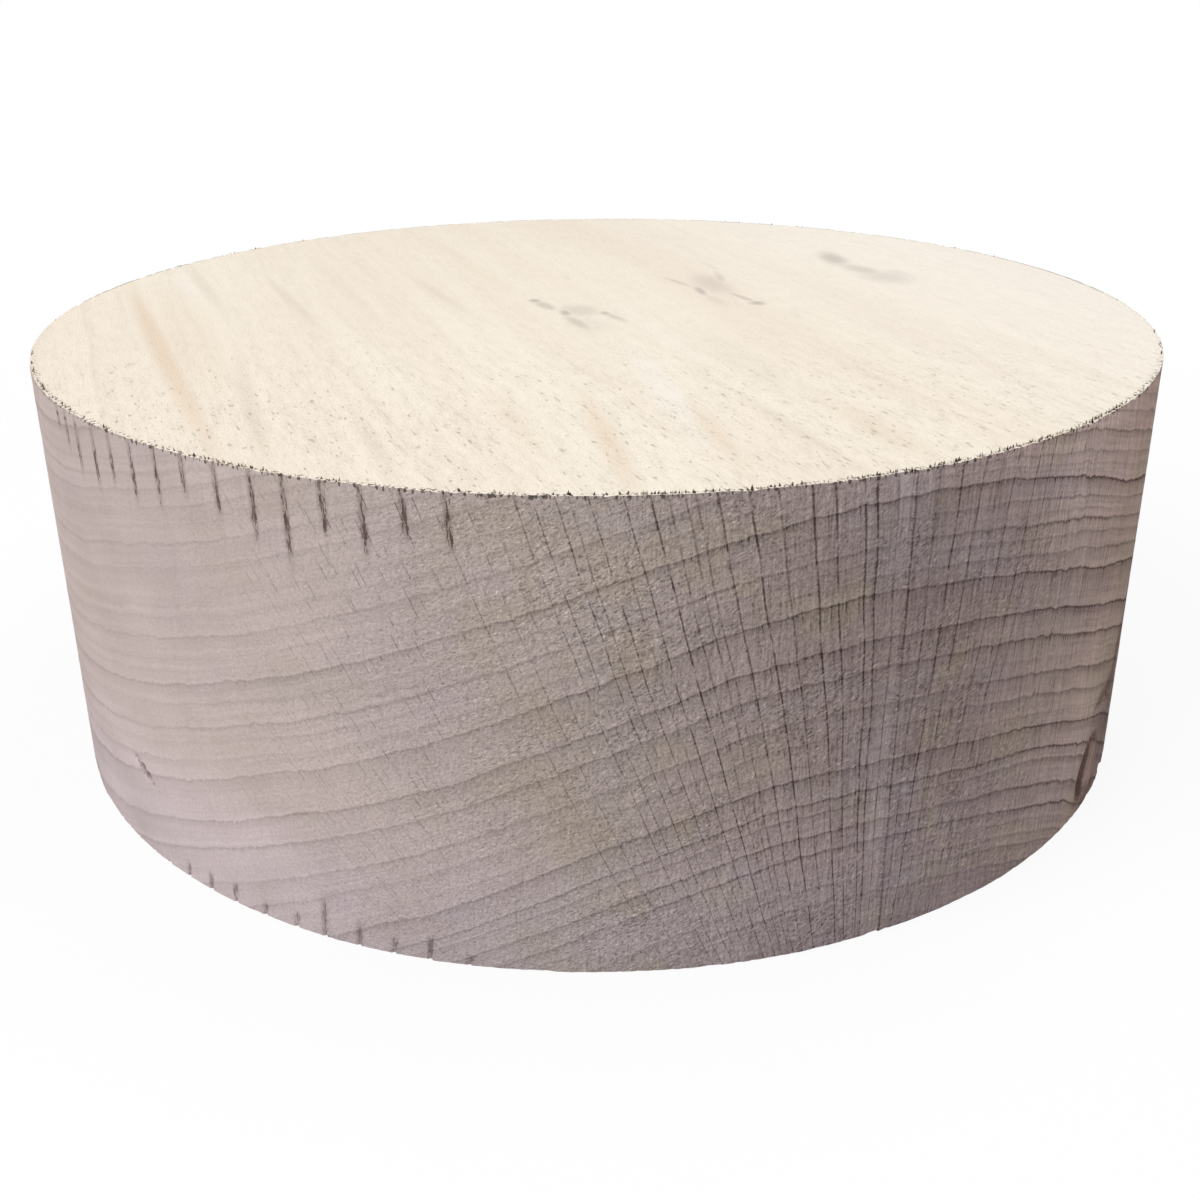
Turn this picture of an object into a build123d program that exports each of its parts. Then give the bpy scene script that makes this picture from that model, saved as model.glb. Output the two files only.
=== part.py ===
from build123d import *
import os
from math import asin, cos, degrees, radians, sin

# Round wood turning blank, band-sawn out of a flat-sawn hardwood plank.
# One solid piece of stock, in millimetres, standing on its lower plank face.
# Origin: centre of that face. +Z up, and the front of the rim faces -Y.
# Angles run round the rim in degrees, from the front towards +X.

# The disc
diameter = 207.0
thickness = 76.2

# Stretch of rim where the stock was turned into the blade in short straight pushes
facet_start = -50.7
facet_stretch = 39.7
facet_length = 6.0

# Grooves that the blade's set left at the end of each push, run out along the rim
mark_width = 0.6
mark_depth = 0.5
top_mark_length = 9.5
top_mark_swing = 3.0
low_mark_start = -38.0
low_mark_length = 4.5
low_mark_swing = 2.0
swing_per_mark = 2.4

# Place where the saw cut closes on itself: a flat that ends in a small step
seam_angle = 24.8
seam_flat = 3.6
seam_step = 0.35

# Knot of a small branch, cut on the slant, low on the right
knot_angle = 56.7
knot_height = 7.4
knot_width = 10.0
knot_length = 13.0
knot_tilt = 25.0
knot_ring_width = 1.3
knot_ring_depth = 0.8

# Torn places in the rim: angle, height, length, width, lean from upright
tear_left = (-47.3, 16.1, 9.0, 1.8, -58.0)
tear_over_knot = (61.7, 18.0, 9.5, 2.2, -60.0)
tear_at_edge = (64.7, 0.8, 6.0, 2.2, 90.0)

radius = diameter / 2


def rim_point(angle, distance=radius):
    """Point at an angle round the rim, on the lower face."""
    return (distance * sin(radians(angle)), -distance * cos(radians(angle)))


def rim_plane(angle, height):
    """Plane that touches the rim: local X along the rim, local Y up, local Z outwards."""
    x, y = rim_point(angle)
    along = (cos(radians(angle)), sin(radians(angle)), 0)
    return Plane(origin=(x, y, height), x_dir=along, z_dir=(x, y, 0))


def radial_plane(angle, height):
    """Upright plane through the axis: local X outwards, local Y up."""
    x, y = rim_point(angle)
    return Plane(origin=(0, 0, height), x_dir=(x, y, 0), z_dir=(y, -x, 0))


def run_out_groove(angle, height, length):
    """Cut one blade groove, deepest at the sawn edge and run out along the rim."""
    with BuildSketch(radial_plane(angle, height)) as groove:
        with BuildLine():
            Polyline(
                (radius - mark_depth, 0),
                (radius + mark_depth, 0),
                (radius + mark_depth, length),
                (radius, length),
                close=True,
            )
        make_face()
    extrude(groove.sketch, amount=mark_width / 2, both=True, mode=Mode.SUBTRACT)


def tear_out(angle, height, length, width, lean):
    """Cut a spindle-shaped hollow where fibres were torn out of the rim."""
    place = rim_plane(angle, height).rotated((0, 0, -lean))
    with BuildSketch(place) as hollow:
        with BuildLine():
            tip_to_tip = Line((0, -length / 2), (0, length / 2))
            ThreePointArc(tip_to_tip @ 1, (width / 2, 0), tip_to_tip @ 0)
        make_face()
    revolve(hollow.sketch, axis=Axis(place.origin, place.y_dir), mode=Mode.SUBTRACT)


facet_count = max(1, round(radians(facet_stretch) * radius / facet_length))
facet_pitch = facet_stretch / facet_count
facet_angles = [facet_start + facet_pitch * i for i in range(facet_count + 1)]
low_mark_angles = [angle for angle in facet_angles if angle > low_mark_start]
flat_start = seam_angle - degrees(2 * asin(seam_flat / diameter))
back_of_rim = (facet_start + seam_angle) / 2 + 180

with BuildPart() as turning_blank:
    # Plan outline of the rim, then the full thickness of the plank
    with BuildSketch():
        with BuildLine():
            pushes = Polyline(*[rim_point(angle) for angle in facet_angles])
            front = ThreePointArc(
                pushes @ 1,
                rim_point((facet_angles[-1] + flat_start) / 2),
                rim_point(flat_start),
            )
            flat = Line(front @ 1, rim_point(seam_angle, radius - seam_step))
            step = Line(flat @ 1, rim_point(seam_angle))
            ThreePointArc(step @ 1, rim_point(back_of_rim), pushes @ 0)
        make_face()
    extrude(amount=thickness)

    # Blade grooves, down from the top edge and up from the bottom edge
    for i, angle in enumerate(facet_angles):
        length = top_mark_length + top_mark_swing * sin(swing_per_mark * i)
        run_out_groove(angle, thickness, -length)
    for i, angle in enumerate(low_mark_angles):
        length = low_mark_length + low_mark_swing * sin(swing_per_mark * i)
        run_out_groove(angle, 0, length)

    # Shrunken bark ring round the knot
    with BuildSketch(rim_plane(knot_angle, knot_height).rotated((0, 0, -knot_tilt))):
        Ellipse(knot_width / 2, knot_length / 2)
        Ellipse(
            knot_width / 2 - knot_ring_width,
            knot_length / 2 - knot_ring_width,
            mode=Mode.SUBTRACT,
        )
    extrude(amount=knot_ring_depth, both=True, mode=Mode.SUBTRACT)

    for tear in (tear_left, tear_over_knot, tear_at_edge):
        tear_out(*tear)

turning_blank.part.label = "turning_blank"

os.makedirs("parts", exist_ok=True)
export_step(turning_blank.part, "parts/turning_blank.step")
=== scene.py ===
import math

import bpy
import numpy as np
from mathutils import Matrix, Vector


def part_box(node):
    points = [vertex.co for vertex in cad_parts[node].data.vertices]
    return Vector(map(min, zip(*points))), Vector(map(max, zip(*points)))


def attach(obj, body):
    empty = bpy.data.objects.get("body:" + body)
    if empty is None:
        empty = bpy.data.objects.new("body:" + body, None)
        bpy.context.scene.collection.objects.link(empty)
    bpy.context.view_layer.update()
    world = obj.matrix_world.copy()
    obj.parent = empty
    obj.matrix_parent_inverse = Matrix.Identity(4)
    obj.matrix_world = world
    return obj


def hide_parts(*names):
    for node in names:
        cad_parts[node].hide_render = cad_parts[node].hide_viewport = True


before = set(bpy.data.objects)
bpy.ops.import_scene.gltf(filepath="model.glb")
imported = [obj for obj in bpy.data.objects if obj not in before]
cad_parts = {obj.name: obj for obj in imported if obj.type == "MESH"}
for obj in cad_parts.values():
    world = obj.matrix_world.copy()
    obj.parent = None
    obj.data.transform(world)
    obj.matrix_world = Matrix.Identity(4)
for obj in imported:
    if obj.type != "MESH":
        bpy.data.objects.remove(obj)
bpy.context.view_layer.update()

# Wood turning blank: a thick disc band-sawn out of a flat-sawn plank.
# Lengths are in millimetres until a mesh or a lamp is made, and angles round the rim
# are in degrees from the front (-Y) towards +X.
MM = 0.001

node_low, node_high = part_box("turning_blank")
radius = (node_high[0] - node_low[0]) / 2 / MM
height = (node_high[2] - node_low[2]) / MM

# Yearly rings: the pith runs under the blank, level, in the direction of grain_angle
grain_angle = 20.0
pith_depth = 113.2
crown_shift, crown_lean = -1.53, 0.077
left_rise, left_spread = 9.94, 42.5
right_rise, right_spread = 0.88, 79.8
rise_change = -0.127

# Rays fan out from their own centre under the blank, and lean less the further out they are
ray_shift, ray_lean, ray_depth, ray_middle, ray_bend = 6.2, 0.03, 52.4, 5.0, 1.1e-4

# Ends of the yearly rings: height over the base at the ring's crown, and how dark its line is
ring_ends = (
    (2.6, 0.3), (7.2, 0.35), (8.4, 0.5), (11.4, 0.45), (13.3, 0.3), (15.6, 0.3), (17.9, 0.85),
    (21.3, 0.8), (24.9, 0.6), (27.0, 0.9), (31.6, 0.95), (34.0, 0.25), (37.4, 0.5), (41.2, 0.6),
    (43.7, 0.25), (46.8, 0.85), (51.2, 1.0), (58.4, 1.0), (61.1, 0.5), (63.5, 0.4), (65.6, 0.65),
    (67.2, 0.2), (69.2, 0.45), (72.2, 1.0), (74.2, 0.25), (75.9, 0.35), (79.0, 0.65), (82.0, 0.35),
    (84.6, 0.35), (89.0, 0.5), (92.4, 0.55), (97.6, 0.4), (100.2, 0.5), (102.6, 0.3), (104.8, 0.3),
    (108.8, 0.8), (113.2, 0.5), (117.0, 0.4), (121.5, 0.5),
)

# Waves in single rings: across, ring, reach across, reach over the rings, and how far they dip
ring_waves = (
    (-58, 56, 22, 14, 1.2), (-88, 57, 16, 4, 0.9), (-58, 29, 16, 5, 1.2), (-5, 33, 22, 12, 0.5),
    (28, 50, 16, 3.5, -0.9), (50, 58, 16, 3, 1.0), (22, 73, 12, 3, -0.9), (45, 27, 14, 5, -1.3),
    (61, 71, 12, 3, 1.2),
)

# Long dark rays: distance across the grain at mid height, and how dark the ray is
long_rays = (
    (-52.0, 0.35), (-46.4, 0.55), (-43.6, 0.3), (-40.4, 0.5), (-36.5, 0.4), (-32.3, 0.6),
    (-29.6, 0.6), (-26.2, 0.65), (-24.2, 0.45), (-21.4, 0.65), (-19.0, 0.4), (-16.9, 0.75),
    (-13.6, 0.9), (-11.5, 0.5), (-9.5, 0.5), (-8.2, 0.5), (-5.6, 0.75), (-2.1, 0.95), (1.0, 0.6),
    (4.5, 0.9), (7.0, 0.8), (10.3, 0.9), (11.7, 0.85), (14.1, 0.6), (18.9, 0.6), (21.8, 0.85),
    (24.8, 0.65), (27.4, 0.35), (30.2, 0.6), (34.7, 0.65), (37.4, 0.5), (41.0, 0.3),
)

# Saw marks at the end of each straight push of the stock into the blade, and their lengths
facet_start, facet_stretch = -50.7, 39.7
top_marks = (9.0, 10.0, 8.0, 9.6, 9.0, 6.4, 8.3, 10.2, 13.4, 7.7, 10.9, 7.0, 9.0)
low_marks = (0.0, 0.0, 0.0, 3.0, 3.5, 4.0, 2.5, 3.0, 7.5, 4.5, 3.0, 4.5, 2.0)
mark_shifts = (0.0, 0.0, -0.9, -1.0, -1.0, -1.0, -0.5, 0.0, -0.5, -0.4, -0.4, -0.4, -0.2)
early_marks = ((-53.1, 6.5), (-55.0, 4.0))
facet_count = len(top_marks) - 1
mark_width, mark_depth = 0.8, 0.35

# Place where the cut closes on itself
seam_angle, seam_flat, seam_step = 24.8, 3.6, 0.35

# Knot of a small branch, low on the right
knot_angle, knot_height, knot_width, knot_length, knot_tilt = 56.7, 7.4, 10.0, 13.0, 25.0

# Torn places in the rim: angle, height, length, width, lean from upright, depth
tears = (
    (-47.3, 16.1, 9.0, 1.8, -58.0, 0.8),
    (61.7, 18.0, 9.5, 2.2, -60.0, 0.6),
    (64.7, 0.8, 6.0, 2.2, 90.0, 0.8),
)
deepest_tear = max(tear[-1] for tear in tears)

# Soft spots on the rim: angle, height, length, width, lean from upright, strength
tan_spots = (
    (57.0, 27.0, 20.0, 12.0, 60, 0.9), (61.5, 46.0, 22.0, 11.0, 25, 0.7), (61.0, 63.0, 12.0, 9.0, 70, 0.9),
    (54.5, 5.0, 10.0, 8.0, 70, 0.7),
)
brown_spots = (
    (59.3, 20.3, 13.0, 3.4, 84, 1.2), (63.5, 25.0, 13.0, 5.0, 25, 0.8), (57.5, 1.5, 9.0, 4.0, 80, 0.9),
    (60.5, 8.0, 16.0, 9.0, 10, 0.35), (65.5, 15.0, 50.0, 14.0, 6, 0.45),
)
# Painted light and shade on the rim, in the same columns: lighter low on the left and high on the right,
# and darker low on the right, which is partly the darker wood round the knot
painted_light_spots = (
    (-35, 12, 70, 34, 90, 0.16), (5, 10, 60, 26, 90, 0.12), (46, 67, 34, 22, 90, 0.20),
    (-18, 40, 60, 40, 90, 0.05), (60, 14, 26, 18, 0, -0.30), (0, 50, 130, 90, 90, 0.06),
    (24, 14, 44, 28, 90, 0.14), (0, 66, 34, 22, 90, 0.08), (52, 16, 20, 20, 90, 0.12),
    (34, 75.5, 70, 8, 90, 0.32), (-72, 62, 56, 24, 0, 0.07), (65, 8, 84, 20, 8, -0.40),
    (-48, 66, 50, 30, 90, -0.05), (-62, 40, 90, 22, 0, -0.02),
)

# Grey stains in the upper plank face: x, y, length, width, turn from the grain, darkness
stains = (
    (-12.3, 9.6, 4.6, 3.4, 0, 1.0), (-10.2, 5.4, 11.0, 4.0, 7, 0.7), (-6.0, -1.0, 6.4, 2.8, -8, 1.0),
    (-3.6, -9.0, 16.0, 3.8, 0, 0.7), (-3.2, 1.0, 14.0, 9.5, 0, 0.5), (1.6, -1.5, 4.4, 2.8, 0, 0.9),
    (3.4, -4.6, 11.0, 3.0, 8, 0.6), (-1.0, -11.0, 16.0, 11.0, 0, 0.2), (17.2, 26.0, 15.0, 2.2, 9, 0.5),
    (21.2, 17.5, 11.0, 2.4, -10, 0.9), (24.0, 24.5, 27.0, 9.0, -8, 0.5), (26.2, 30.5, 16.0, 2.6, -17, 0.5),
    (25.0, 43.0, 15.0, 2.2, -2, 0.22), (23.8, 9.0, 13.0, 4.4, 0, 0.3), (29.2, 11.6, 13.0, 2.2, 7, 0.65),
    (31.7, 6.4, 5.0, 4.2, 0, 0.95), (53.1, 50.0, 20.0, 7.4, -13, 0.85), (57.4, 38.0, 18.0, 7.2, 8, 0.6),
    (61.5, 30.0, 18.0, 13.0, 4, 0.45), (64.5, 33.0, 12.0, 7.0, 0, 0.3), (38.2, -2.0, 11.0, 2.4, -18, 0.15),
    (-6.3, 31.0, 8.0, 2.0, -14, 0.18), (-79.6, -37.0, 3.2, 2.0, 0, 0.5),
)

# Streaks along the grain of that face: across the grain, along it, length, width, turn, strength
warm_streaks = (
    (-81.6, 0, 150, 5.0, 1.4, 1.0), (-76, 12, 110, 13, 0, 0.4), (-36, -62, 40, 5, -5, 0.45),
    (-26, -76, 60, 5.5, -11, 0.75), (-10, -78, 38, 5, -10, 0.55), (13, -85, 36, 8, 0, 0.5),
    (-11, 50, 80, 6, 1, 0.25), (60, -60, 60, 9, 0, 0.25),
)
grey_streaks = (
    (-68.3, 48, 66, 3.6, 2, 0.9), (-71.5, -36, 84, 3.8, -4.5, 1.0), (-53.5, 28, 66, 3.2, 3, 0.8),
    (-58, -66, 50, 3.6, -3, 0.9), (-24.5, 25, 50, 3.4, 4, 0.7), (1.5, -80, 50, 3.6, 0, 0.7),
    (11, -42, 56, 10, -4, 0.45), (26, -60, 56, 4, 0, 0.4), (-42, 40, 90, 5, 0, 0.3),
)
pale_streaks = ((-8.6, -54.3, 66, 7, -12, 1.0), (5.0, -16, 66, 5, -3, 0.6), (-72, 54, 46, 5, 1, 0.7))

# Columns and rows of faces on the rim, and slivers tried along its top edge
column_count, row_count, sliver_count = 1024, 76, 2600
random = np.random.default_rng(7)
scene = bpy.context.scene


def lattice(ix, iy, seed):
    """Repeatable value from 0 to 1 at whole-number grid points."""
    n = (ix * 374761393 + iy * 668265263 + seed * 974711) & 0xFFFFFFFF
    n = ((n ^ (n >> 13)) * 1274126177) & 0xFFFFFFFF
    return ((n ^ (n >> 16)) & 0xFFFF) / 0xFFFF


def noise(x, y, seed, wrap=None):
    """Smooth value noise from -1 to 1 with a grid of 1. wrap is the period of x, in whole steps."""
    x, y = np.broadcast_arrays(np.asarray(x, float), np.asarray(y, float))
    ix, iy = np.floor(x).astype(np.int64), np.floor(y).astype(np.int64)
    fx, fy = x - ix, y - iy
    fx, fy = fx * fx * (3 - 2 * fx), fy * fy * (3 - 2 * fy)
    nx = ix + 1
    if wrap:
        ix, nx = ix % wrap, nx % wrap
    low = lattice(ix, iy, seed) * (1 - fx) + lattice(nx, iy, seed) * fx
    high = lattice(ix, iy + 1, seed) * (1 - fx) + lattice(nx, iy + 1, seed) * fx
    return 2 * (low * (1 - fy) + high * fy) - 1


def noise_3d(place, cell, seed, octaves=2):
    """Smooth noise from about -1 to 1 in space, without a seam. place is an array of points."""
    total, weight = 0.0, 0.0
    turn = np.array([[0.36, 0.48, -0.80], [-0.80, 0.60, 0.0], [0.48, 0.64, 0.60]])
    q = place / np.asarray(cell, float)
    for octave in range(octaves):
        q = q @ turn.T
        low = np.floor(q).astype(np.int64)
        f = q - low
        f = f * f * (3 - 2 * f)
        value = 0.0
        for corner in range(8):
            i, j, k = corner & 1, corner >> 1 & 1, corner >> 2 & 1
            part = np.where(i, f[:, 0], 1 - f[:, 0]) * np.where(j, f[:, 1], 1 - f[:, 1])
            part = part * np.where(k, f[:, 2], 1 - f[:, 2])
            slab = lattice(low[:, 2] + k, low[:, 1] * 0, seed + octave) * 65535
            value = value + part * lattice(low[:, 0] + i, low[:, 1] + j, slab.astype(np.int64))
        total, weight = total + (2 * value - 1) * 0.6**octave, weight + 0.6**octave
        q = q * 2.1
    return 1.6 * total / weight


def rim_noise(angle, z, step, rise, seed):
    """Noise on the rim with cells of step along it and rise up it."""
    count = max(1, round(2 * math.pi * radius / step))
    return noise(angle / 360 * count, z / rise, seed, wrap=count)


def along_rim(angle, place):
    """Distance along the rim from a place given as an angle."""
    return np.radians((angle - place + 180) % 360 - 180) * radius


# Structure of the wood


def across_grain(x, y):
    """Distance across the grain, towards the right."""
    a = math.radians(grain_angle)
    return x * math.cos(a) + y * math.sin(a)


def ring_place(across, z):
    """Ring coordinate: the height over the base that this year's wood has at its crown."""
    off = across - (crown_shift + crown_lean * z)
    left = left_rise * (1 - np.exp(-((off / left_spread) ** 2)))
    right = right_rise * (1 - np.exp(-((off / right_spread) ** 2)))
    rise = np.where(off < 0, left, right) * (1 + rise_change * (z / (height / 2) - 1))
    ring = np.hypot(off, z + pith_depth) - pith_depth + rise
    wave = 0.0
    for side, place, wide, tall, dip in ring_waves:
        wave = wave + dip * np.exp(-(((across - side) / wide) ** 2) - ((ring - place) / tall) ** 2)
    return ring + wave


def ray_place(across, z):
    """Ray coordinate: one value along each ray, and about its distance across at mid height."""
    off = across - ray_middle
    bent = across + ray_bend * off**3 - ray_shift + ray_lean * ray_depth
    out = z + ray_depth
    return (bent / out + ray_lean * np.log(out)) * (ray_depth + height / 2)


def knot_frame(angle, z):
    """Place on the knot: across it and along it, both 1 at the outside of its bark."""
    t = math.radians(knot_tilt)
    along, up = along_rim(angle, knot_angle), z - knot_height
    across = along * math.cos(t) - up * math.sin(t)
    length = along * math.sin(t) + up * math.cos(t)
    return across / (knot_width / 2), length / (knot_length / 2)


# Shape of the surface

facet_pitch = facet_stretch / facet_count
mark_angles = facet_start + facet_pitch * np.arange(facet_count + 1)
mark_angles = mark_angles + np.degrees(np.array(mark_shifts) / radius)
marks = [*zip(mark_angles, top_marks, low_marks)]
marks += [(angle, length, 0.0) for angle, length in early_marks]


def spread(low, high, count, pitch):
    """Places from low to high, as close together as pitch(place) asks, scaled to the count."""
    fine = np.linspace(low, high, 20001)
    total = np.concatenate([[0], np.cumsum(1 / pitch((fine[1:] + fine[:-1]) / 2))])
    return np.interp(np.linspace(0, total[-1], count), total, fine)


def column_pitch(angle):
    """Wanted width of a column of faces at an angle round the rim."""
    pitch = np.where(np.abs(angle) < 76, 0.55, 1.1)
    for place in [mark[0] for mark in marks] + [seam_angle]:
        near = np.abs(along_rim(angle, place)) < mark_width * 0.8
        pitch = np.where(near, 0.24, pitch)
    return pitch


def row_pitch(z):
    """Wanted height of a row of faces."""
    return np.interp(np.minimum(z, height - z), (0, 1.2, 3.0), (0.3, 0.5, 1.2))


def outline(angle):
    """Radius of the sawn rim, with its flats and the step where the cut closes."""
    r = np.full_like(angle, radius)
    inside = (angle > facet_start) & (angle < facet_start + facet_stretch)
    from_middle = (angle - facet_start) % facet_pitch - facet_pitch / 2
    chord = radius * math.cos(math.radians(facet_pitch / 2)) / np.cos(np.radians(from_middle))
    r = np.where(inside, chord, r)
    back = -along_rim(angle, seam_angle)
    return r - np.where((back >= 0) & (back < seam_flat), seam_step * (1 - back / seam_flat), 0)


def mark_frame(angle, z):
    """Nearest saw mark: distance along the rim, and 1 at its start to 0 at its end."""
    gap = np.full(np.broadcast(angle, z).shape, 9.0)
    run = np.zeros_like(gap)
    for place, top, low in marks:
        off = along_rim(angle, place)
        from_edge = np.maximum(1 - (height - z) / top, 1 - z / max(low, 0.1))
        nearer = np.abs(off) < np.abs(gap)
        gap = np.where(nearer, off, gap)
        run = np.where(nearer, from_edge, run)
    return gap, run


def spot(angle, z, place, up, length, width, lean):
    """1 in the middle of a long spot on the rim, 0 at its border, and less outside it."""
    t = math.radians(lean)
    u, v = along_rim(angle, place), z - up
    side = u * math.cos(t) - v * math.sin(t)
    along = u * math.sin(t) + v * math.cos(t)
    return 1 - (side / (width / 2)) ** 2 - (along / (length / 2)) ** 2


def tear_depth(angle, z):
    """Depth of the torn hollows."""
    depth = np.zeros(np.broadcast(angle, z).shape)
    for *shape, deep in tears:
        depth = np.maximum(depth, deep * np.clip(spot(angle, z, *shape), 0, 1))
    return depth


def spots_strength(angle, z, spots):
    """Sum of soft spots on the rim."""
    return sum(strength * np.exp(spot(angle, z, *shape) - 1) for *shape, strength in spots)


def rim_radius(angle, z):
    """Radius of the finished rim surface."""
    r = outline(angle)
    r = r + 0.10 * rim_noise(angle, z, 24, 70, 1) + 0.05 * rim_noise(angle, z, 4.2, 45, 2)
    r = r + 0.035 * rim_noise(angle, z, 1.1, 18, 3) + 0.03 * rim_noise(angle, z, 1.3, 1.6, 4)
    gap, run = mark_frame(angle, z)
    r = r - mark_depth * np.clip(1 - np.abs(gap) / (mark_width / 2), 0, 1) * np.clip(run, 0, 1)
    r = r - tear_depth(angle, z)
    knot_across, knot_along = knot_frame(angle, z)
    reach = np.hypot(knot_across, knot_along)
    groove = np.exp(-(((reach - 0.95) / 0.1) ** 2)) * np.clip(0.6 - knot_across, 0.15, 1)
    broken = rim_noise(angle, z, 1.0, 1.0, 5) * np.exp(-((reach / 0.9) ** 4))
    broken = broken * np.clip(0.3 - knot_along, 0.1, 1)
    return r - 0.45 * groove + 0.12 * np.exp(-((reach / 0.6) ** 2)) + 0.12 * broken


def end_grain(angle):
    """1 where the rim cuts straight across the fibres, 0 where it runs along them."""
    return np.abs(np.cos(np.radians(angle - grain_angle)))


def chipping(angle, seed):
    """Depth of the fibre breakage along a sawn edge."""
    ragged = 0.3 + 0.7 * end_grain(angle)
    small = np.clip(rim_noise(angle, 0 * angle, 0.9, 1, seed), 0, 1)
    large = np.clip(rim_noise(angle, 0 * angle, 2.1, 1, seed + 1) - 0.5, 0, 1)
    return ragged * (0.03 + 0.28 * small**2 + 0.5 * large)


def face_relief(x, y, seed):
    """Slight unevenness of a sawn plank face, drawn out along the grain."""
    across = across_grain(x, y)
    along = across_grain(-y, x)
    return 0.05 * noise(across / 9, along / 40, seed) + 0.025 * noise(across / 3, along / 9, seed + 1)


def cap_rings():
    """(columns, share of the radius) of the point rings on a plank face, from the edge inwards."""
    rings = [(column_count, 1 - gap / radius) for gap in (0.5, 1.2)]
    spans = (
        (512, 2.2, 14, 2.4), (256, 17, 42, 3.1), (128, 46, 70, 4.0), (64, 75, 90, 5.0),
        (32, 94, 101, 3.5),
    )
    for columns, start, stop, step in spans:
        count = max(2, round((stop - start) / step) + 1)
        rings += [(columns, 1 - gap / radius) for gap in np.linspace(start, stop, count)]
    return rings


def bridge(outer, inner, faces):
    """Faces between two rings of points; the inner one has as many points, or half."""
    n, m = len(outer), len(inner)
    for i in range(m):
        k = (i + 1) % m
        if n == m:
            faces.append((outer[i], outer[k], inner[k], inner[i]))
        else:
            a, b, c = outer[2 * i], outer[2 * i + 1], outer[(2 * i + 2) % n]
            faces += [(a, b, inner[i]), (b, inner[k], inner[i]), (b, c, inner[k])]


class Build:
    """Points and faces of the blank, gathered block by block."""

    def __init__(self):
        self.blocks, self.faces, self.kinds, self.count = [], [], [], 0

    def add_points(self, block):
        self.blocks.append(block)
        self.count += len(block)
        return list(range(self.count - len(block), self.count))

    def add_faces(self, faces, kind, flip=False):
        self.faces += [face[::-1] for face in faces] if flip else faces
        self.kinds += [kind] * len(faces)


RIM, FACE = 0, 1
build = Build()
angles = spread(-180, 180, column_count + 1, column_pitch)[:-1]
rows = spread(0, height, row_count, row_pitch)


def add_rim():
    """The sawn rim. Returns its lowest and highest ring of points."""
    angle, z = np.meshgrid(angles, rows)
    r = rim_radius(angle, z)
    top_chips, low_chips = chipping(angles, 21), 0.35 * chipping(angles, 31)
    z = np.clip(z, low_chips * (1 - z / height), height - top_chips * z / height)
    r[-1] -= 0.5 * top_chips
    r[0] -= 0.5 * low_chips
    x, y = r * np.sin(np.radians(angle)), -r * np.cos(np.radians(angle))
    index = build.add_points(np.column_stack([x.ravel(), y.ravel(), z.ravel()]))
    faces = []
    for row in range(len(rows) - 1):
        lower = index[row * column_count : (row + 1) * column_count]
        upper = index[(row + 1) * column_count : (row + 2) * column_count]
        bridge(upper, lower, faces)
    build.add_faces(faces, RIM, flip=True)
    return index[:column_count], index[-column_count:]


def add_cap(edge, z, seed, flip):
    """A plank face inside a ring of edge points."""
    outer, faces = edge, []
    for columns, share in cap_rings():
        angle = np.radians(angles[:: column_count // columns])
        x, y = share * radius * np.sin(angle), -share * radius * np.cos(angle)
        relief = face_relief(x, y, seed) * min(1, (1 - share) * 12)
        level = z + (np.abs(relief) if flip else relief)
        inner = build.add_points(np.column_stack([x, y, level]))
        bridge(outer, inner, faces)
        outer = inner
    (centre,) = build.add_points(np.array([[0.0, 0.0, z]]))
    faces += [(outer[i], outer[(i + 1) % len(outer)], centre) for i in range(len(outer))]
    build.add_faces(faces, FACE, flip)


def add_fibres():
    """Broken fibre ends that stand up along the top edge: small closed slivers with three sides."""
    angle = random.uniform(-180, 180, sliver_count)
    crowd = rim_noise(angle, 0 * angle, 2.0, 1, 61) + rim_noise(angle, 0 * angle, 11, 1, 62) - 0.3
    away = np.clip((np.abs(angle) - 52) / 22, 0, 1)
    angle = angle[crowd - 1.4 * away > random.uniform(-1.2, 1.2, sliver_count)]
    first = build.count
    for place in angle:
        turn, far = math.radians(place), abs(place) > 80
        wide, tall = random.uniform(0.14, 0.46), random.uniform(0.1, 0.7) ** (2 if far else 1)
        out, lean = random.uniform(-0.5, 0.15), random.uniform(-0.6, 0.6)
        way = np.array([math.sin(turn), -math.cos(turn), 0])
        side = np.array([math.cos(turn), math.sin(turn), 0])
        foot = way * (radius - 0.35 - random.uniform(0, 0.25)) + np.array([0, 0, height - 0.5])
        tip = foot + way * (0.2 + out * tall) + side * lean * tall + np.array([0, 0, 0.45 + tall])
        corners = np.array([foot - side * wide, foot + side * wide, foot + way * 0.3, tip])
        p, q, r, t = build.add_points(corners)
        build.add_faces([(p, q, t), (q, r, t), (r, p, t), (p, r, q)], RIM)
    return first


low_edge, top_edge = add_rim()
add_cap(low_edge, 0.0, 51, flip=True)
add_cap(top_edge, height, 41, flip=False)
first_fibre = add_fibres()
points = np.concatenate(build.blocks)

mesh = bpy.data.meshes.new("sawn_wood")
mesh.from_pydata((points * MM).tolist(), [], build.faces)
mesh.polygons.foreach_set("use_smooth", np.ones(len(build.faces), bool))
mesh.polygons.foreach_set("material_index", np.array(build.kinds))


def sharpen_edges():
    """Keeps the two sawn edges of the disc crisp."""
    ends = np.zeros(len(mesh.edges) * 2, int)
    mesh.edges.foreach_get("vertices", ends)
    is_edge = np.zeros(len(points), bool)
    is_edge[low_edge + top_edge] = True
    sharp = mesh.attributes.new("sharp_edge", "BOOLEAN", "EDGE")
    sharp.data.foreach_set("value", is_edge[ends.reshape(-1, 2)].all(1))


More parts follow.
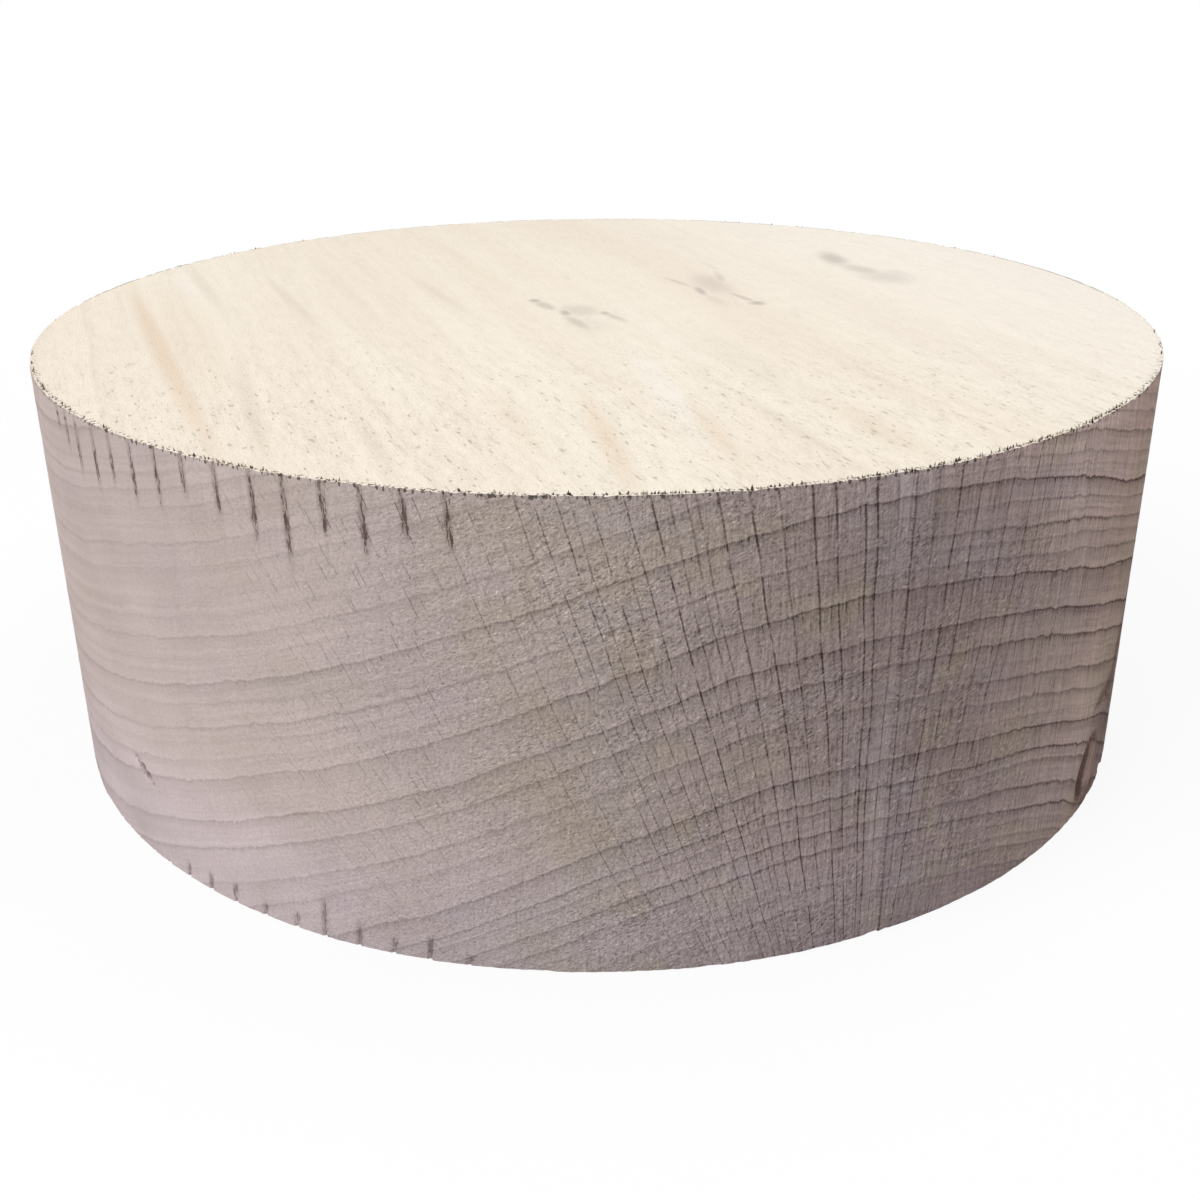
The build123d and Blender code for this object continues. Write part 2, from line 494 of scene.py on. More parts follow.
def write_values():
    """Stores what the materials need to know at each point."""
    x, y, z = points.T
    angle = np.degrees(np.arctan2(x, -y))
    across = across_grain(x, y)
    knot_across, knot_along = knot_frame(angle, z)
    inward = (radius - np.hypot(x, y)) / knot_width
    knot = np.hypot(np.hypot(knot_across, knot_along), inward)
    drift = 0.3 * noise_3d(points, 16, 71) + 0.16 * noise_3d(points, 4, 72)
    drift = drift * np.clip(1 - inward, 0, 1)
    wander = 0.35 * noise_3d(points, (9, 9, 14), 73)
    around_knot = 1.3 * knot_along * np.exp(-((knot / 1.6) ** 2))
    gap, run = mark_frame(angle, z)
    # One shade for the four corners of each sliver, and none on the rest of the wood
    fibre = np.zeros(len(points))
    fibre[first_fibre:] = np.repeat(random.uniform(0.05, 1, (len(points) - first_fibre) // 4), 4)
    fibre = np.where((angle > 30) & (fibre > 0), 0.18 + 0.30 * fibre, fibre)
    on_rim = np.clip(1 - inward, 0, 1)
    values = {
        "ring": ring_place(across, z) + drift - around_knot,
        "ray": ray_place(across, z) + wander,
        "across": across,
        "end_grain": end_grain(angle),
        "knot": knot,
        "knot_across": knot_across,
        "knot_along": knot_along,
        "tan": on_rim * spots_strength(angle, z, tan_spots),
        "brown": on_rim * spots_strength(angle, z, brown_spots),
        # Brightness factor of the painted light and shade on the rim
        "light": 1 + on_rim * spots_strength(angle, z, painted_light_spots),
        "mark_gap": gap,
        "mark_run": run,
        "mark_near": np.clip(1.8 - np.abs(gap), 0, 1),
        "seam": along_rim(angle, seam_angle),
        "torn": tear_depth(angle, z) / deepest_tear,
        "patch": noise_3d(points, (11, 11, 8), 81, 4),
        "tint": noise_3d(points, (18, 18, 13), 83, 4),
        "rough": noise_3d(points, (14, 14, 10), 85, 4),
        "fibre": fibre,
    }
    for name, value in values.items():
        mesh.attributes.new(name, "FLOAT", "POINT").data.foreach_set("value", np.asarray(value, float))


sharpen_edges()
write_values()
mesh.update()
blank = bpy.data.objects.new("sawn_blank", mesh)
scene.collection.objects.link(blank)


# Materials


def srgb(red, green, blue):
    """Linear colour, with alpha, of an sRGB colour from 0 to 255."""
    def linear(value):
        value /= 255
        return value / 12.92 if value <= 0.04045 else ((value + 0.055) / 1.055) ** 2.4
    return (linear(red), linear(green), linear(blue), 1.0)


# Colour of the rim from left to right: distance across the grain, and sRGB colour there
rim_reach = 104.0
rim_colours = (
    (-104, (212, 195, 191)), (-66, (203, 187, 182)), (-35, (192, 177, 172)), (-10, (180, 163, 159)),
    (12, (172, 154, 151)), (28, (184, 163, 159)), (44, (199, 177, 171)), (66, (206, 177, 168)),
    (104, (208, 188, 178)),
)

# Broken fibre ends along an edge: their colour, and the cells of the noise that places them
dark_fibre = srgb(58, 48, 42)
tick_cell = (0.6, 0.6, 2.0)

# How deep a stain reaches, and how little the bare wood shines
smudge_depth = 6.0
wood_shine = 0.14


class Paint:
    """A node material, with short calls for the nodes that the wood needs."""

    def __init__(self, name):
        self.material = bpy.data.materials.new(name)
        self.material.use_nodes = True
        self.tree = self.material.node_tree
        self.shader = self.tree.nodes["Principled BSDF"]

    def set(self, socket, value):
        if isinstance(value, bpy.types.NodeSocket):
            self.tree.links.new(value, socket)
        elif value is not None:
            socket.default_value = value

    def value(self, name):
        node = self.tree.nodes.new("ShaderNodeAttribute")
        node.attribute_name = name
        return node.outputs["Fac"]

    def math(self, operation, a, b=None, c=None, clamp=False):
        node = self.tree.nodes.new("ShaderNodeMath")
        node.operation, node.use_clamp = operation, clamp
        for socket, value in zip(node.inputs, (a, b, c)):
            self.set(socket, value)
        return node.outputs[0]

    def plus(self, total, value, amount):
        """total + value * amount"""
        return self.math("MULTIPLY_ADD", value, amount, total)

    def product(self, first, *others):
        for other in others:
            first = self.math("MULTIPLY", first, other)
        return first

    def centred(self, value):
        """A value from 0 to 1, moved to lie round 0."""
        return self.math("SUBTRACT", value, 0.5)

    def step(self, value, low, high, to_low=0.0, to_high=1.0):
        """Smooth step between two limits, which may rise or fall."""
        node = self.tree.nodes.new("ShaderNodeMapRange")
        node.interpolation_type = "SMOOTHSTEP"
        for socket, number in zip(node.inputs, (value, low, high, to_low, to_high)):
            self.set(socket, number)
        return node.outputs[0]

    def grain_space(self, tilt=0.0):
        """Position in millimetres: across the grain, against its run, and up, turned by tilt."""
        coordinates = self.tree.nodes.new("ShaderNodeTexCoord")
        turned = self.tree.nodes.new("ShaderNodeMapping")
        turned.inputs["Rotation"].default_value = (0, 0, -math.radians(grain_angle))
        turned.inputs["Scale"].default_value = (1 / MM, 1 / MM, 1 / MM)
        self.set(turned.inputs["Vector"], coordinates.outputs["Object"])
        if not tilt:
            return turned.outputs[0]
        tilted = self.tree.nodes.new("ShaderNodeMapping")
        tilted.inputs["Rotation"].default_value = (0, math.radians(tilt), 0)
        self.set(tilted.inputs["Vector"], turned.outputs[0])
        return tilted.outputs[0]

    def place(self, a, b, c=0.0):
        node = self.tree.nodes.new("ShaderNodeCombineXYZ")
        for socket, value in zip(node.inputs, (a, b, c)):
            self.set(socket, value)
        return node.outputs[0]

    def split(self, vector):
        node = self.tree.nodes.new("ShaderNodeSeparateXYZ")
        self.set(node.inputs[0], vector)
        return node.outputs

    def length(self, vector):
        node = self.tree.nodes.new("ShaderNodeVectorMath")
        node.operation = "LENGTH"
        self.set(node.inputs[0], vector)
        return node.outputs["Value"]

    def noise(self, place, cell, detail=2.0, seed=0.0, rough=0.5):
        """Noise round 0.5, with cells of the given size along each axis of the place."""
        scaled = self.tree.nodes.new("ShaderNodeVectorMath")
        scaled.operation = "MULTIPLY_ADD"
        scaled.inputs[1].default_value = tuple(1 / size for size in cell)
        scaled.inputs[2].default_value = (seed, seed, seed)
        self.set(scaled.inputs[0], place)
        node = self.tree.nodes.new("ShaderNodeTexNoise")
        self.set(node.inputs["Vector"], scaled.outputs[0])
        node.inputs["Scale"].default_value = 1.0
        node.inputs["Detail"].default_value = detail
        node.inputs["Roughness"].default_value = rough
        return node.outputs["Fac"]

    def lines(self, coordinate, spacing, seed=0.0):
        """Distance to the nearest of many uneven parallel lines, and a random number for each."""
        node = self.tree.nodes.new("ShaderNodeTexVoronoi")
        node.voronoi_dimensions = "1D"
        self.set(node.inputs["W"], self.math("MULTIPLY_ADD", coordinate, 1 / spacing, seed))
        node.inputs["Scale"].default_value = 1.0
        split = self.tree.nodes.new("ShaderNodeSeparateColor")
        self.set(split.inputs[0], node.outputs["Color"])
        return self.math("MULTIPLY", node.outputs["Distance"], spacing), split.outputs[0]

    def ramp(self, value, stops):
        """Value or colour from a list of (place, shade)."""
        node = self.tree.nodes.new("ShaderNodeValToRGB")
        elements = node.color_ramp.elements
        while len(elements) < len(stops):
            elements.new(0.5)
        # All places come first, because a change of place can change the order of the elements
        for element, stop in zip(elements, stops):
            element.position = stop[0]
        for element, stop in zip(elements, stops):
            shade = stop[1]
            element.color = shade if isinstance(shade, tuple) else (shade, shade, shade, 1)
        self.set(node.inputs[0], value)
        return node.outputs[0]

    def mix(self, amount, a, b, blend="MIX"):
        node = self.tree.nodes.new("ShaderNodeMix")
        node.data_type, node.blend_type = "RGBA", blend
        self.set(node.inputs[0], amount)
        self.set(node.inputs[6], a)
        self.set(node.inputs[7], b)
        return node.outputs[2]

    def scaled(self, colour, factor):
        node = self.tree.nodes.new("ShaderNodeVectorMath")
        node.operation = "SCALE"
        self.set(node.inputs[0], colour)
        self.set(node.inputs["Scale"], factor)
        return node.outputs[0]

    def shade(self, colour, dark, lighter, darker):
        """Colour made darker where dark is over 0, and lighter where it is under 0."""
        pale = self.mix(1.0, colour, (*lighter, 1), "MULTIPLY")
        deep = self.mix(1.0, colour, (*darker, 1), "MULTIPLY")
        colour = self.mix(self.math("MULTIPLY", dark, -1.4, clamp=True), colour, pale)
        return self.mix(self.math("MULTIPLY", dark, 1.0, clamp=True), colour, deep)

    def bump(self, height_mm):
        node = self.tree.nodes.new("ShaderNodeBump")
        node.inputs["Distance"].default_value = MM
        self.set(node.inputs["Height"], height_mm)
        return node.outputs[0]

    def finish(self, colour, roughness, relief):
        """Puts the wood's colour, roughness and relief on the shader, and gives the material."""
        self.set(self.shader.inputs["Base Color"], colour)
        self.set(self.shader.inputs["Roughness"], roughness)
        self.set(self.shader.inputs["Specular IOR Level"], wood_shine)
        self.set(self.shader.inputs["Normal"], self.bump(relief))
        return self.material


def listed_lines(paint, value, lines, start, profile, per_ramp=6):
    """Sum of ramps that draw lines at listed places. profile gives one line's stops."""
    total = None
    for first in range(0, len(lines), per_ramp):
        group = lines[first : first + per_ramp]
        stop = group[-1][0] + 0.6
        stops, before = [(start, 0.0)], start
        for place, dark in group:
            stops += profile(before, place, dark)
            before = stops[-1][0]
        stops.append((stop, 0.0))
        scale = 1 / (stop - start)
        shifted = paint.math("MULTIPLY", paint.math("SUBTRACT", value, start), scale)
        part = paint.ramp(shifted, [((place - start) * scale, shade) for place, shade in stops])
        total = part if total is None else paint.math("ADD", total, part)
        start = stop
    return total


def ring_profile(before, end, dark):
    """A year's wood: pale at first, slowly darker, then its thin dark end line."""
    wide = end - before
    return [
        (before + 0.25 * wide, 0.10 * dark),
        (before + 0.60 * wide, 0.25 * dark),
        (end - min(0.9, max(0.35, 0.2 * wide)), 0.45 * dark),
        (end - 0.24, 0.62 * dark),
        (end - 0.12, dark),
        (end + 0.10, dark),
        (end + 0.26, 0.0),
    ]


def ray_profile(before, place, dark):
    return [(place - 0.19, 0.0), (place - 0.07, dark), (place + 0.07, dark), (place + 0.19, 0.0)]


class RimPaint(Paint):
    """The sawn rim's paint, layer by layer, with the values that several layers share."""

    def __init__(self):
        super().__init__("sawn_rim_wood")
        self.grain = self.grain_space()
        parts = self.split(self.grain)
        self.grain_across, self.up = parts[0], parts[2]
        self.across, self.ray, self.patch = self.value("across"), self.value("ray"), self.value("patch")
        self.mottle = self.centred(self.noise(self.grain, (0.46, 0.46, 0.52), 2, 20.0, 0.68))
        self.fine_gap, self.fine_pick = self.lines(self.ray, 0.9, 7.1)
        self.wide_gap, self.wide_pick = self.lines(self.ray, 2.6, 0.3)
        self.ring_w, self.rings = self.ring_lines()
        self.flake = self.noise(self.grain_space(28), (0.80, 0.80, 0.26), 2, 17.0)

    def ring_lines(self):
        """Ring coordinate, stepped a little where it crosses the rays, and the lines on it."""
        ring_w = self.plus(self.value("ring"), self.centred(self.wide_pick), 0.24)
        ring_w = self.plus(ring_w, self.centred(self.fine_pick), 0.20)
        ring_w = self.plus(ring_w, self.mottle, 0.32)
        return ring_w, listed_lines(self, ring_w, ring_ends, 0.0, ring_profile, 4)

    def ring_darkness(self):
        """Rings, fainter at the far left and right, and the darkest right of the middle."""
        left = self.step(self.across, -85.0, -10.0, 0.45, 1.0)
        right = self.step(self.across, 10.0, 55.0, 1.0, 1.6)
        far_right = self.step(self.across, 76.0, 98.0, 1.0, 0.55)
        return self.product(self.rings, left, right, far_right)

    def fibre_texture(self):
        """Fine fibre texture, torn up the most where the rim cuts across the fibres."""
        ends = self.step(self.value("end_grain"), 0.3, 0.8, 0.4, 1.0)
        left = self.step(self.across, -85.0, -15.0, 0.45, 1.0)
        right = self.step(self.across, 45.0, 8.0, 0.45, 1.0)
        return self.product(self.mottle, ends, left, right)

    def torn_fibres_and_glints(self):
        """Torn fibre ends in the early wood, as pale specks painted as glints on them and dark specks
        painted as shade between them.
        """
        furry = self.product(
            self.step(self.value("rough"), -0.8, 0.7, 0.25, 1.0),
            self.step(self.across, -80.0, -20.0, 0.05, 1.0),
            self.step(self.across, 62.0, 20.0, 0.08, 1.0),
            self.step(self.rings, 0.45, 0.08, 0.35, 1.0),
        )
        glint_flakes = self.product(self.step(self.flake, 0.57, 0.67), furry)
        return glint_flakes, self.product(self.step(self.flake, 0.43, 0.33), furry)

    def ray_darkness(self):
        """Rays: the long ones, broken dashes beyond them, and fine ones that hang from the ring lines."""
        across = self.across
        dash = self.noise(self.place(self.ray, self.up), (1.3, 3.4, 1.0), 2, 5.0, 0.62)
        dashed = self.math("ADD", dash, self.step(across, -66.0, -16.0, -0.13, 0.0))
        ray_w = self.plus(self.ray, self.mottle, 0.22)
        listed = listed_lines(self, ray_w, long_rays, -54.0, ray_profile)
        listed = self.product(listed, self.step(dashed, 0.33, 0.50, 0.12, 1.0))
        beyond = self.step(self.math("ABSOLUTE", self.plus(9.0, across, 1.0)), 41.0, 49.0)
        broken = self.product(self.step(self.wide_gap, 0.20, 0.07), self.step(dash, 0.50, 0.60))
        broken = self.product(broken, beyond, 0.6)
        fine = self.product(self.step(self.fine_gap, 0.15, 0.04), self.step(self.fine_pick, 0.2, 0.7))
        fine = self.product(fine, self.step(dash, 0.43, 0.60), self.plus(0.3, self.rings, 1.1))
        fine = self.product(fine, self.step(across, -45.0, -5.0, 0.3, 1.0), 0.6)
        rays = self.math("MAXIMUM", self.math("ADD", listed, broken), fine)
        return self.product(rays, self.step(across, -95.0, -60.0), self.step(across, 72.0, 40.0))

    def blade_streaks(self):
        """Upright streaks left by the blade."""
        streak = self.centred(self.noise(self.grain, (0.36, 0.36, 9.0), 2, 11.0, 0.6))
        return self.product(streak, self.step(self.across, -70.0, 30.0, 0.15, 1.25))

    def ring_layers(self):
        """Soft layers that follow the rings."""
        place = self.place(self.ring_w, self.across)
        layer = self.centred(self.noise(place, (0.75, 22.0, 1.0), 2, 31.0, 0.6))
        return self.product(layer, self.step(self.across, 0.0, 60.0, 0.4, 1.0))

    def seam(self):
        """Line and pale band where the cut closes."""
        seam = self.plus(self.value("seam"), self.mottle, 0.15)
        line = self.step(self.math("ABSOLUTE", self.math("SUBTRACT", seam, 0.15)), 0.24, 0.08)
        return line, self.product(self.step(seam, -3.8, -2.6), self.step(seam, -0.2, -0.8))

    def wood_colour(self):
        """Pinkish long grain, darker end grain in the middle and browner to the right, in patches, with
        painted light and shade in soft spots.
        """
        across = self.across
        place = self.math("MULTIPLY_ADD", across, 0.5 / rim_reach, 0.5)
        stops = [((x + rim_reach) / (2 * rim_reach), srgb(*colour)) for x, colour in rim_colours]
        wood = self.ramp(place, stops)
        patchy = self.step(across, -80.0, -25.0, 0.3, 1.0)
        patchy = self.product(patchy, self.step(across, 60.0, 20.0, 0.4, 1.0))
        yellow = self.product(self.step(self.patch, -0.1, 0.7, 0.0, 0.46), patchy)
        wood = self.mix(yellow, wood, srgb(192, 178, 156))
        violet = self.product(self.step(self.value("tint"), 0.0, 0.8, 0.0, 0.5), patchy)
        wood = self.mix(violet, wood, srgb(184, 170, 176))
        cool = self.product(self.step(self.up, 30.0, 6.0), self.step(across, 50.0, 15.0))
        wood = self.mix(cool, wood, (0.985, 0.995, 1.07, 1), "MULTIPLY")
        wood = self.mix(self.product(self.value("tan"), 0.7), wood, srgb(188, 174, 152))
        # Painted light and shade: the colour made brighter or darker in soft spots
        wood = self.scaled(wood, self.value("light"))
        brown = self.step(self.plus(self.value("brown"), self.mottle, 0.7), 0.3, 0.8)
        return self.mix(self.product(brown, 0.75), wood, srgb(120, 96, 82))

    def add_knot(self, colour):
        """Brown wood in a ring of bark that is darkest on its left and below, and speckled there."""
        across, along = self.value("knot_across"), self.value("knot_along")
        knot = self.plus(self.value("knot"), self.mottle, 0.9)
        strips = self.noise(self.place(across, along), (0.30, 2.4, 1.0), 2, 3.0)
        inner = self.mix(self.step(strips, 0.42, 0.58), srgb(160, 132, 122), srgb(196, 168, 158))
        specks = self.mix(self.step(self.flake, 0.50, 0.64), srgb(96, 76, 70), srgb(222, 206, 198))
        inner = self.mix(self.product(self.step(along, -0.3, -0.7), 0.9), inner, specks)
        left_bark = self.step(self.plus(across, along, 0.3), 0.0, -0.5, 0.1, 0.9)
        bark = self.math("MAXIMUM", left_bark, self.step(along, 0.65, 0.9, 0.0, 0.7))
        colour = self.mix(self.step(knot, 1.4, 1.0, 0.0, 0.3), colour, srgb(140, 114, 106))
        colour = self.mix(self.product(self.step(knot, 1.06, 0.92), bark), colour, srgb(98, 74, 68))
        inside = self.step(self.plus(knot, across, -0.35), 0.80, 0.55)
        return self.mix(self.product(inside, 0.8), colour, inner)

    def add_saw_marks(self, colour):
        """Frayed dark strands, paler low on the rim."""
        gap, run = self.value("mark_gap"), self.value("mark_run")
        middle = self.math("ADD", gap, self.math("MULTIPLY", self.math("SUBTRACT", 1.0, run), -0.45))
        strand = self.noise(self.place(middle, self.grain_across, self.up), (0.24, 9.0, 1.9), 2, 41.0, 0.75)
        beside = self.step(self.math("ABSOLUTE", middle), 1.15, 0.0)
        strength = self.product(self.step(run, -0.3, 0.35), self.step(run, 1.0, 0.4, 0.6, 1.0))
        strength = self.product(strength, beside, self.value("mark_near"))
        mark = self.step(self.plus(strand, strength, 0.34), 0.67, 0.83)
        mark = self.product(mark, self.step(strength, 0.0, 0.3), self.step(strength, 0.1, 0.7, 0.4, 0.88))
        mark = self.math("MAXIMUM", mark, self.product(strength, 0.28))
        mark = self.product(mark, self.step(self.up, 12.0, 30.0, 0.7, 1.0))
        return self.mix(mark, colour, srgb(84, 60, 56))

    def add_torn_edge(self, colour):
        """Torn hollows, dark fibre ends along the upper edge, and the three shades of the slivers."""
        torn = self.step(self.plus(self.value("torn"), self.mottle, 1.0), 0.2, 0.8, 0.0, 0.75)
        colour = self.mix(torn, colour, srgb(92, 74, 62))
        tick = self.noise(self.grain, tick_cell, 2, 51.0, 0.6)
        drop = self.math("SUBTRACT", height, self.up)
        near_edge = self.step(self.plus(drop, tick, -2.2), -0.7, -1.0)
        ticks = self.product(self.step(tick, 0.52, 0.58), near_edge, 0.8)
        colour = self.mix(ticks, colour, dark_fibre)
        fibre = self.value("fibre")
        for low, shade in ((0.0, srgb(200, 186, 168)), (0.24, srgb(128, 112, 94)), (0.42, dark_fibre)):
            colour = self.mix(self.step(fibre, low, low + 0.02), colour, shade)
        return colour


def rim_material():
    """The sawn rim: its wood darkened layer by layer, then its single marks, and its relief."""
    p = RimPaint()
    ring_dark, streak, grainy = p.ring_darkness(), p.blade_streaks(), p.fibre_texture()
    glint_flakes, shaded_pits = p.torn_fibres_and_glints()
    seam_line, seam_band = p.seam()

    dark = p.product(ring_dark, 0.56)
    dark = p.plus(dark, p.ray_darkness(), 0.85)
    dark = p.plus(dark, streak, 0.95)
    dark = p.plus(dark, p.ring_layers(), 0.8)
    dark = p.plus(dark, grainy, 1.10)
    # Painted glints on the torn fibre ends, and painted shade between them
    dark = p.plus(dark, glint_flakes, -0.85)
    dark = p.plus(dark, shaded_pits, 0.55)
    dark = p.plus(dark, p.patch, 0.05)
    dark = p.plus(dark, seam_line, 0.50)
    dark = p.plus(dark, seam_band, -0.20)

    colour = p.shade(p.wood_colour(), dark, (1.64, 1.66, 1.62), (0.16, 0.12, 0.115))
    colour = p.add_torn_edge(p.add_saw_marks(p.add_knot(colour)))
    roughness = p.math("MULTIPLY_ADD", p.mottle, 0.2, 0.86)

    relief = p.product(p.math("SUBTRACT", glint_flakes, shaded_pits), 0.16)
    relief = p.plus(relief, grainy, 0.34)
    relief = p.plus(relief, streak, -0.20)
    relief = p.plus(relief, ring_dark, 0.08)
    return p.finish(colour, roughness, relief)


def smudges(p, grain, mottle, shapes):
    """Strength of soft spindle-shaped spots on the upper face, the strongest where they overlap."""
    total = None
    for across, along, length, width, turn, strength in shapes:
        place = p.tree.nodes.new("ShaderNodeMapping")
        place.vector_type = "TEXTURE"
        place.inputs["Location"].default_value = (across, along, height)
        place.inputs["Rotation"].default_value = (0, 0, math.radians(turn))
        place.inputs["Scale"].default_value = (width / 2, length / 2, smudge_depth)
        p.set(place.inputs["Vector"], grain)
        part = p.step(p.plus(p.length(place.outputs[0]), mottle, 0.7), 1.15, 0.15, 0.0, strength)
        total = part if total is None else p.math("MAXIMUM", total, part)
    return total


def face_material():
    """A plank face: pale wood with streaks, flecks and stains, and a ragged front edge."""
    p = Paint("plank_face_wood")
    grain = p.grain_space()
    parts = p.split(grain)
    grain_across, grain_back = parts[0], parts[1]

    drift = p.centred(p.noise(grain, (14.0, 110.0, 60.0), 2, 2.0))
    ring_w = p.plus(p.value("ring"), drift, 3.0)
    rings = listed_lines(p, ring_w, ring_ends, 0.0, ring_profile, 4)
    streaks = p.centred(p.noise(grain, (2.4, 70.0, 20.0), 3, 4.0, 0.6))
    broad = p.noise(grain, (18.0, 150.0, 60.0), 1, 5.0)

    # How far to the left and to the front a place is
    left = p.step(grain_across, 20.0, -65.0, 0.12, 1.0)
    turn = math.radians(grain_angle)
    rear = p.plus(p.product(grain_across, math.sin(turn)), grain_back, math.cos(turn))
    front = p.step(rear, 0.0, -70.0, 0.25, 1.0)

    # Dark flecks, scratches and open pores along the grain, and the sawn fuzz
    mottle = p.centred(p.noise(grain, (1.2, 5.0, 3.0), 3, 14.0, 0.6))
    fleck = p.plus(p.noise(grain, (0.55, 2.2, 1.0), 1, 7.0), mottle, 0.28)
    fleck = p.product(p.step(p.plus(fleck, front, 0.03), 0.69, 0.80), front)
    scratch = p.plus(p.noise(grain, (0.34, 8.0, 1.0), 1, 9.0), mottle, 0.20)
    scratch = p.product(p.step(p.plus(scratch, front, 0.03), 0.66, 0.76), front)
    fuzz = p.centred(p.noise(grain, (0.45, 1.0, 0.6), 2, 13.0, 0.65))

    wood = p.mix(p.step(broad, 0.35, 0.65), srgb(244, 234, 218), srgb(241, 229, 213))
    wood = p.mix(p.step(grain_across, 20.0, 100.0, 0.0, 0.6), wood, srgb(249, 243, 233))
    dark = p.product(rings, left, 0.12)
    dark = p.plus(dark, p.product(streaks, p.plus(0.4, left, 0.6)), 0.24)
    dark = p.plus(dark, fleck, 0.42)
    dark = p.plus(dark, scratch, 0.18)
    dark = p.plus(dark, p.product(fuzz, front), 0.44)
    dark = p.plus(dark, p.product(mottle, p.plus(0.3, front, 0.7)), 0.50)
    colour = p.shade(wood, dark, (1.3, 1.3, 1.32), (0.42, 0.36, 0.30))

    # Streaks along the grain and stains in the upper face
    stains_in_grain = [(across_grain(x, y), across_grain(y, -x), *shape) for x, y, *shape in stains]
    for shapes, amount, shade in (
        (warm_streaks, 0.32, srgb(208, 168, 124)),
        (grey_streaks, 0.18, srgb(174, 160, 134)),
        (pale_streaks, 0.28, srgb(246, 244, 240)),
        (stains_in_grain, 0.42, srgb(116, 102, 104)),
    ):
        strength = p.product(smudges(p, grain, mottle, shapes), amount)
        colour = p.mix(strength, colour, shade)

    # Dark fibre ends just inside the edge, which is a thin dark line at the back
    inward = p.math("SUBTRACT", radius, p.length(p.place(grain_across, grain_back)))
    tick = p.noise(grain, tick_cell, 2, 51.0, 0.6)
    ticks = p.product(p.step(tick, 0.52, 0.59), p.step(p.plus(inward, tick, -3.2), -0.8, -1.3))
    ticks = p.product(ticks, p.step(rear, -22.0, -58.0, 0.08, 0.8))
    colour = p.mix(ticks, colour, srgb(54, 44, 38))
    arris = p.product(p.step(inward, 0.7, 0.35), p.step(rear, 0.0, 25.0, 0.0, 0.6))
    colour = p.mix(arris, colour, srgb(128, 118, 114))
    relief = p.plus(p.product(fuzz, 0.18), fleck, -0.08)
    return p.finish(colour, 0.85, relief)


mesh.materials.append(rim_material())
mesh.materials.append(face_material())
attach(blank, "root")
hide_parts("turning_blank")


# Stage


def seen_rays(tree):
    """1 for rays that show a thing itself: to the camera, in a mirror or through glass."""
    path = tree.nodes.new("ShaderNodeLightPath")
    seen = path.outputs["Is Camera Ray"]
    for ray in ("Is Glossy Ray", "Is Transmission Ray"):
        either = tree.nodes.new("ShaderNodeMath")
        either.operation = "MAXIMUM"
        tree.links.new(seen, either.inputs[0])
        tree.links.new(path.outputs[ray], either.inputs[1])
        seen = either.outputs[0]
    return seen


def stage_material():
    """White to the camera with the object's soft shadow, and a plain pale grey to the light."""
    p = Paint("pale_floor")
    nodes, links = p.tree.nodes, p.tree.links
    p.shader.inputs["Roughness"].default_value = 0.9
    white = nodes.new("ShaderNodeEmission")
    white.inputs["Color"].default_value = (1, 1, 1, 1)
    seen = seen_rays(p.tree)
    p.set(p.shader.inputs["Base Color"], p.mix(seen, (0.5, 0.5, 0.5, 1), (1, 1, 1, 1)))
    away = p.length(nodes.new("ShaderNodeTexCoord").outputs["Object"])
    mixer = nodes.new("ShaderNodeMixShader")
    p.set(mixer.inputs[0], p.product(seen, p.step(away, 0.12, 0.45, 0.88, 1.0)))
    links.new(p.shader.outputs[0], mixer.inputs[1])
    links.new(white.outputs[0], mixer.inputs[2])
    links.new(mixer.outputs[0], nodes["Material Output"].inputs["Surface"])
    return p.material


floor_mesh = bpy.data.meshes.new("floor")
floor_reach = 40 * radius * MM
floor_corners = [(x * floor_reach, y * floor_reach, 0) for x, y in ((-1, -1), (1, -1), (1, 1), (-1, 1))]
floor_mesh.from_pydata(floor_corners, [], [(0, 1, 2, 3)])
floor = bpy.data.objects.new("floor", floor_mesh)
floor_mesh.materials.append(stage_material())
scene.collection.objects.link(floor)

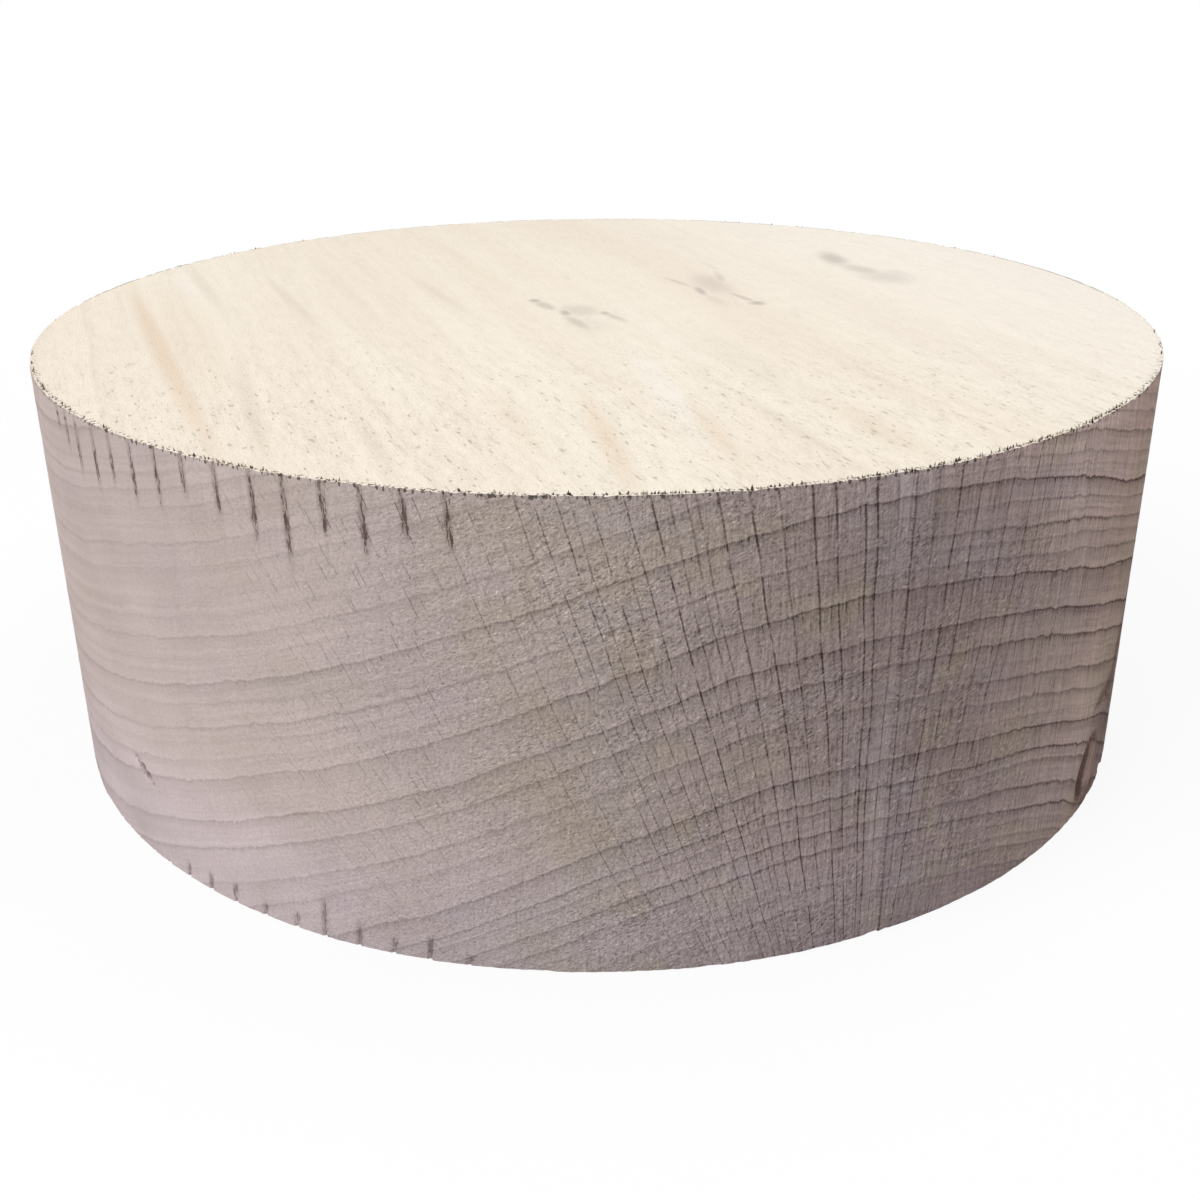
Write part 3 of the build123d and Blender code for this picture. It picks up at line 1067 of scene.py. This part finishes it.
# White room, with less light from it on the wood than it shows
room_light, room_shown = 0.38, 1.0
world = bpy.data.worlds.new("room")
scene.world = world
world.use_nodes = True
background = world.node_tree.nodes["Background"]
background.inputs["Color"].default_value = (1, 1, 1, 1)
level = world.node_tree.nodes.new("ShaderNodeMapRange")
level.inputs["To Min"].default_value = room_light
level.inputs["To Max"].default_value = room_shown
world.node_tree.links.new(seen_rays(world.node_tree), level.inputs["Value"])
world.node_tree.links.new(level.outputs[0], background.inputs["Strength"])


def lamp(name, azimuth, elevation, distance, size, power):
    """Square area lamp that faces the middle of the blank."""
    data = bpy.data.lights.new(name, "AREA")
    data.shape, data.size, data.energy = "SQUARE", size, power
    a, e = math.radians(azimuth), math.radians(elevation)
    way = Vector((math.sin(a) * math.cos(e), -math.cos(a) * math.cos(e), math.sin(e)))
    lamp_object = bpy.data.objects.new(name, data)
    middle = Vector((0, 0, height / 2 * MM))
    lamp_object.location = middle + way * distance
    lamp_object.rotation_euler = way.to_track_quat("Z", "Y").to_euler()
    scene.collection.objects.link(lamp_object)


lamp("key", azimuth=-48, elevation=45, distance=1.2, size=0.7, power=8.3)
lamp("top", azimuth=115, elevation=66, distance=0.8, size=0.6, power=2.1)

# Camera, at the photograph's place
camera_distance, camera_height = 284.14, 142.31
camera_pitch, camera_yaw, camera_roll = 24.12, -0.064, -0.343
photo_pixels, focal_pixels = 1200, 1480.9
camera_data = bpy.data.cameras.new("camera")
camera_data.sensor_width = 36.0
camera_data.lens = focal_pixels / photo_pixels * camera_data.sensor_width
camera_data.clip_start = 0.01
camera = bpy.data.objects.new("camera", camera_data)
pitch, yaw, roll = (math.radians(v) for v in (camera_pitch, camera_yaw, camera_roll))
back = Vector((math.sin(yaw) * math.cos(pitch), -math.cos(yaw) * math.cos(pitch), math.sin(pitch)))
right = Vector((math.cos(yaw), math.sin(yaw), 0))
up = back.cross(right)
turned_right = right * math.cos(roll) + up * math.sin(roll)
turned_up = -right * math.sin(roll) + up * math.cos(roll)
basis = Matrix((turned_right, turned_up, back)).transposed()
camera_place = Vector((0, -camera_distance, camera_height)) * MM
camera.matrix_world = Matrix.Translation(camera_place) @ basis.to_4x4()
scene.collection.objects.link(camera)
bpy.context.scene.camera = camera
bpy.context.scene.view_settings.view_transform = "Standard"
